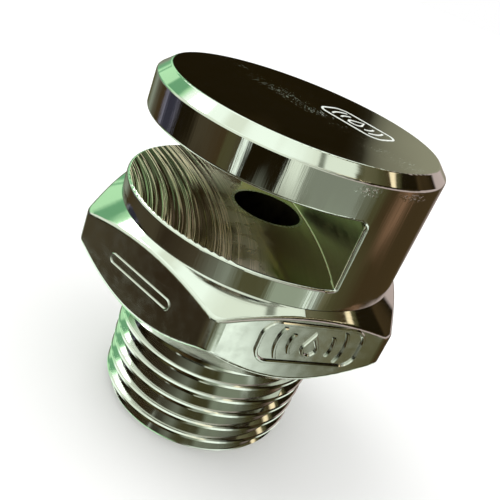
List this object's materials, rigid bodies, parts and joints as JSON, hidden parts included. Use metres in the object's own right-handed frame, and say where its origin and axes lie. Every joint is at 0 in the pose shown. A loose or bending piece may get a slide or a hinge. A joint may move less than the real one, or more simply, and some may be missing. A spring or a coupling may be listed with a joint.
{
  "type": "water curtain spray head",
  "caption": "Open fire-protection spray head with a slotted outlet under a flat round cap, a hexagon and a taper pipe thread.",
  "frame": {"origin": "centre of the inlet end of the thread, which is the bottom centre of the object's box", "axes": "+Z along the nozzle axis from the inlet to the cap; -Y out of the slot's mouth"},
  "size_m": [0.0298, 0.033, 0.0333],
  "materials": {
    "chrome_plate": "polished chrome plate over machined brass",
    "bright_steel": "turned stainless steel",
    "white_seal": "flat PTFE washer",
    "strainer_steel": "pressed and perforated stainless steel",
    "spring_steel": "round spring wire"
  },
  "bodies": {
    "root": {"spray_head": "chrome_plate", "hex_body": "chrome_plate", "orifice_bush": "bright_steel", "seat_washer": "white_seal", "locking_pin": "bright_steel", "inlet_strainer": "strainer_steel", "strainer_snap_ring": "spring_steel"}
  },
  "joints": []
}
